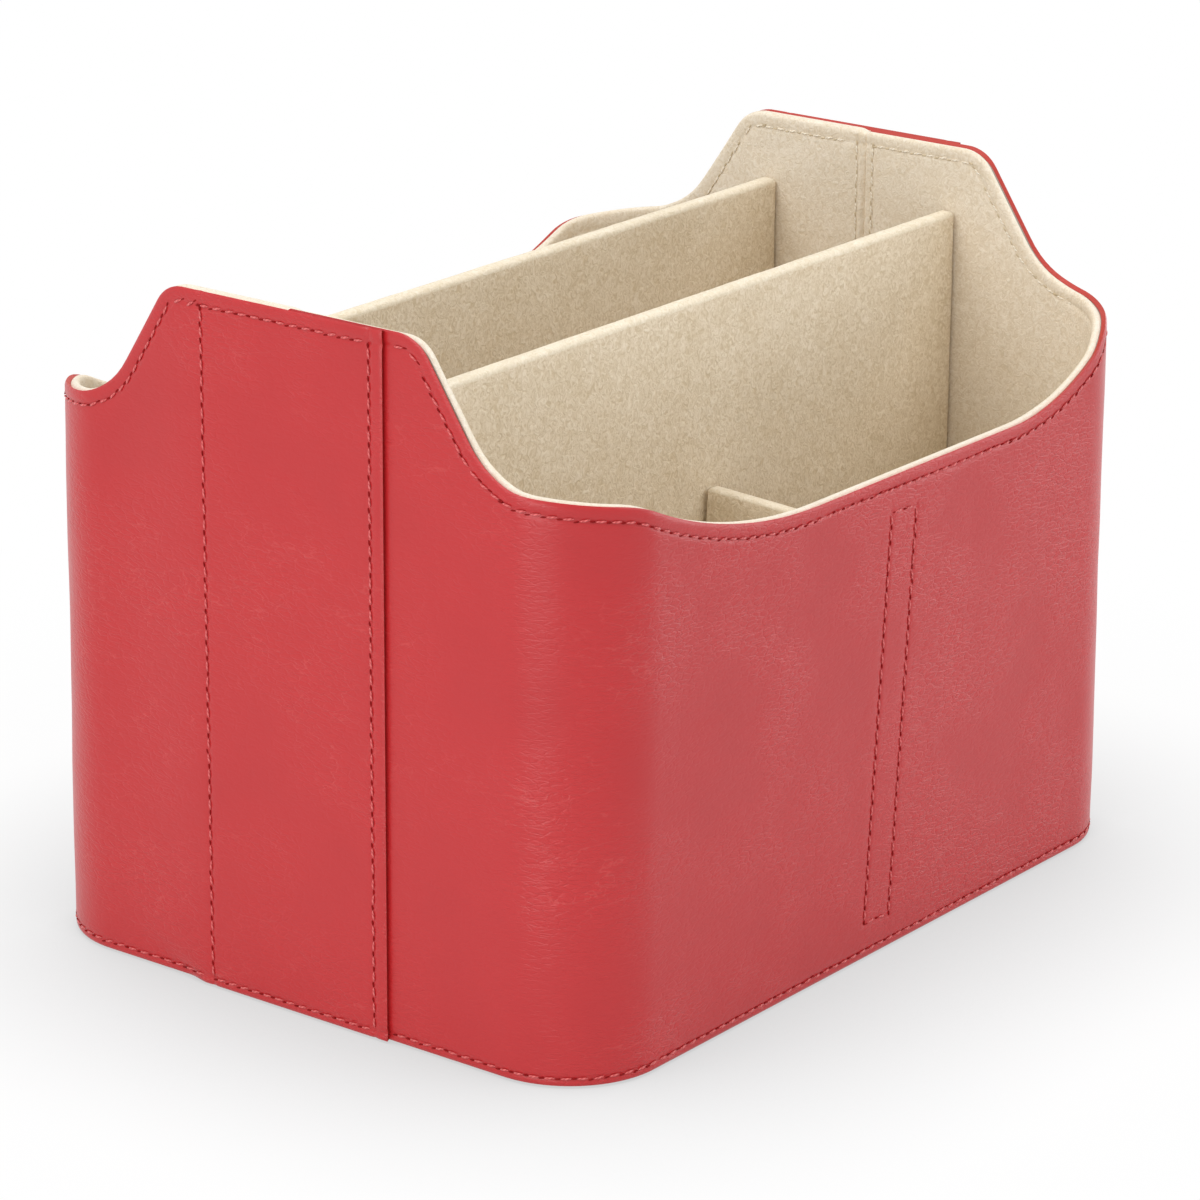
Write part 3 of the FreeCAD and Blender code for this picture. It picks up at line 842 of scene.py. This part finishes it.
# Ambient occlusion dims the glow near the object: a painted contact shadow, not one cast by the lamps.
near = add_node(paper, "ShaderNodeAmbientOcclusion", {"Distance": 0.075}, samples=16)
shade = add_node(paper, "ShaderNodeMapRange", {"Value": near.outputs["AO"], "From Min": 0.35, "To Min": 0.64,
                                               "To Max": 0.99})
white = add_node(paper, "ShaderNodeMix", {0: fade.outputs[0], 2: shade.outputs[0], 3: 1.0})
matt = add_node(paper, "ShaderNodeBsdfPrincipled", {"Base Color": colour("#F3F4F5"), "Roughness": 0.9,
                                                    "Specular IOR Level": 0.1})
burnt = add_node(paper, "ShaderNodeEmission", {"Color": colour("#FFFFFF"), "Strength": white.outputs[0]})
ray = add_node(paper, "ShaderNodeLightPath")
clear = add_node(paper, "ShaderNodeMapRange", {"Value": fade.outputs[0], "To Min": 0.92, "To Max": 1.0})
shown = add_node(paper, "ShaderNodeMath", {0: ray.outputs["Is Camera Ray"], 1: ray.outputs["Is Glossy Ray"]},
                 operation="MAXIMUM")
seen = add_node(paper, "ShaderNodeMath", {0: clear.outputs[0], 1: shown.outputs[0]}, operation="MULTIPLY")
both = add_node(paper, "ShaderNodeMixShader", {0: seen.outputs[0], 1: matt.outputs[0], 2: burnt.outputs[0]})
add_node(paper, "ShaderNodeOutputMaterial", {"Surface": both.outputs[0]})
floor.data.materials.append(paper)
floor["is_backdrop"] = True

studio = bpy.data.worlds.new("white studio")
studio.use_nodes = True
studio.node_tree.nodes.clear()
ray = add_node(studio, "ShaderNodeLightPath")
shown = add_node(studio, "ShaderNodeMath", {0: ray.outputs["Is Camera Ray"], 1: ray.outputs["Is Glossy Ray"]},
                 operation="MAXIMUM")
shown = add_node(studio, "ShaderNodeMath", {0: shown.outputs[0], 1: ray.outputs["Is Transmission Ray"]},
                 operation="MAXIMUM")
level = add_node(studio, "ShaderNodeMapRange", {"Value": shown.outputs[0], "To Min": 0.5, "To Max": 1.0})
sky = add_node(studio, "ShaderNodeBackground", {"Color": colour("#FFFFFF"), "Strength": level.outputs[0]})
add_node(studio, "ShaderNodeOutputWorld", {"Surface": sky.outputs[0]})
bpy.context.scene.world = studio

for name, spot, size, power in (("top softbox", (-0.1, 0.1, 1.5), 1.2, 9.0),
                                ("left softbox", (-1.15, 0.25, 1.0), 0.8, 6.2),
                                ("low card", (-0.7, -0.15, 0.02), 0.4, 1.5),
                                ("right softbox", (0.4, -1.15, 1.0), 0.8, 5.2),
                                ("far softbox", (0.85, -0.62, 0.15), 0.5, 1.7),
                                ("back card", (0.95, 0.1, 0.08), 0.5, 1.6)):
    toward = Vector((0, 0, 0.07)) - Vector(spot)
    bpy.ops.object.light_add(type="AREA", location=spot, rotation=toward.to_track_quat("-Z", "Y").to_euler())
    lamp = bpy.context.object
    lamp.name = name
    lamp.data.size = size
    lamp.data.energy = power

azimuth = math.radians(-52.484)
elevation = math.radians(18.673)
level_out = math.cos(elevation)
back = Vector((math.sin(azimuth) * level_out, -math.cos(azimuth) * level_out, math.sin(elevation)))
aim = Vector((15.809, 11.459, 57.751)) * MM
roll = math.radians(0.376)
distance = 1114.64
turn = (-back).to_track_quat("-Z", "Y").to_matrix() @ Matrix.Rotation(roll, 3, "Z")
bpy.ops.object.camera_add(location=aim + back * distance * MM, rotation=turn.to_euler())
camera = bpy.context.object
camera.data.lens = 148.695
camera.data.sensor_width = 36
camera.data.clip_start = 0.05
bpy.context.scene.camera = camera
bpy.context.scene.view_settings.view_transform = "Standard"

low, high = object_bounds()
